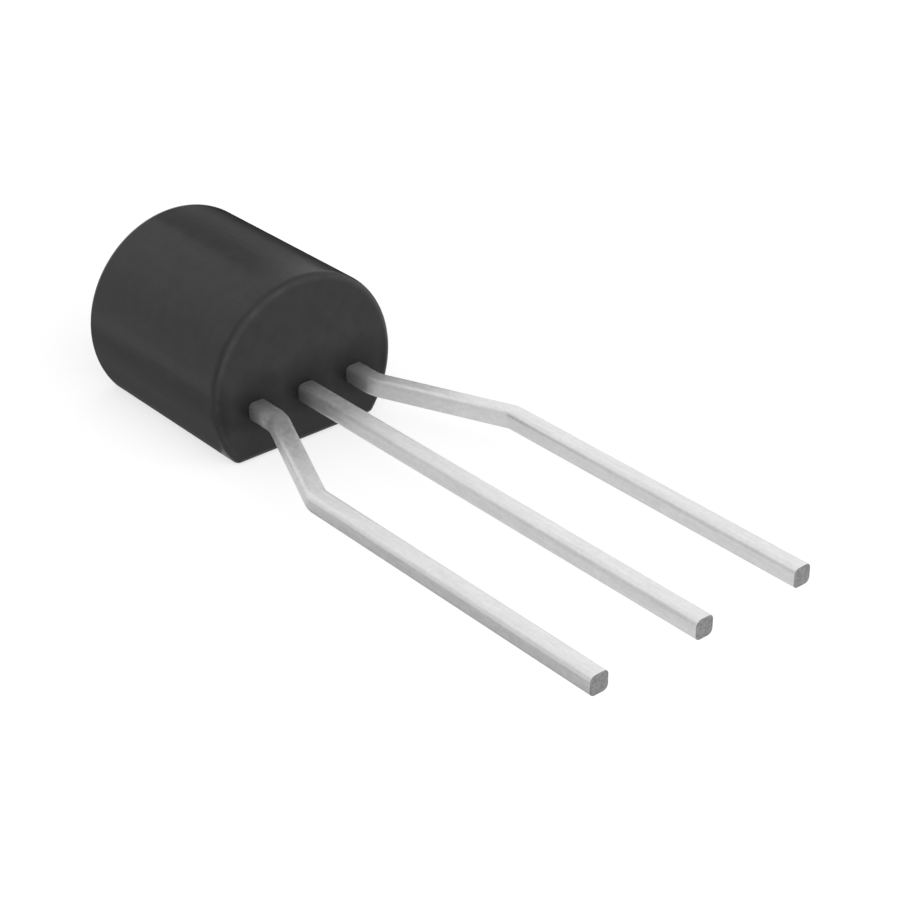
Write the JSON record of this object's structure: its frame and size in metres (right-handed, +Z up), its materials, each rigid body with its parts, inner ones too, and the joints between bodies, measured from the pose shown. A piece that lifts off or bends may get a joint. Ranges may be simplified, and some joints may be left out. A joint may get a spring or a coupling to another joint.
{
  "type": "to-92 transistor",
  "caption": "Moulded D-shaped body with a flat side and a row of tinned leads, the outer ones splayed to a wider pitch; a small-signal transistor for through-hole boards.",
  "frame": {"origin": "centre of the body's flat, the face that the part lies on", "axes": "+X along the leads, away from the body; +Y across the row of leads, towards the emitter; +Z up, out of the flat towards the round side"},
  "size_m": [0.0164, 0.0056, 0.0038],
  "materials": {
    "black_epoxy": "satin",
    "tinned_lead": "satin",
    "silicon": "gloss",
    "solder": "matte",
    "gold_wire": "polished"
  },
  "bodies": {
    "root": {"moulded_body": "black_epoxy", "collector_lead": "tinned_lead", "emitter_lead": "tinned_lead", "base_lead": "tinned_lead", "silicon_die": "silicon", "die_attach": "solder", "emitter_wire": "gold_wire", "base_wire": "gold_wire"}
  },
  "joints": []
}
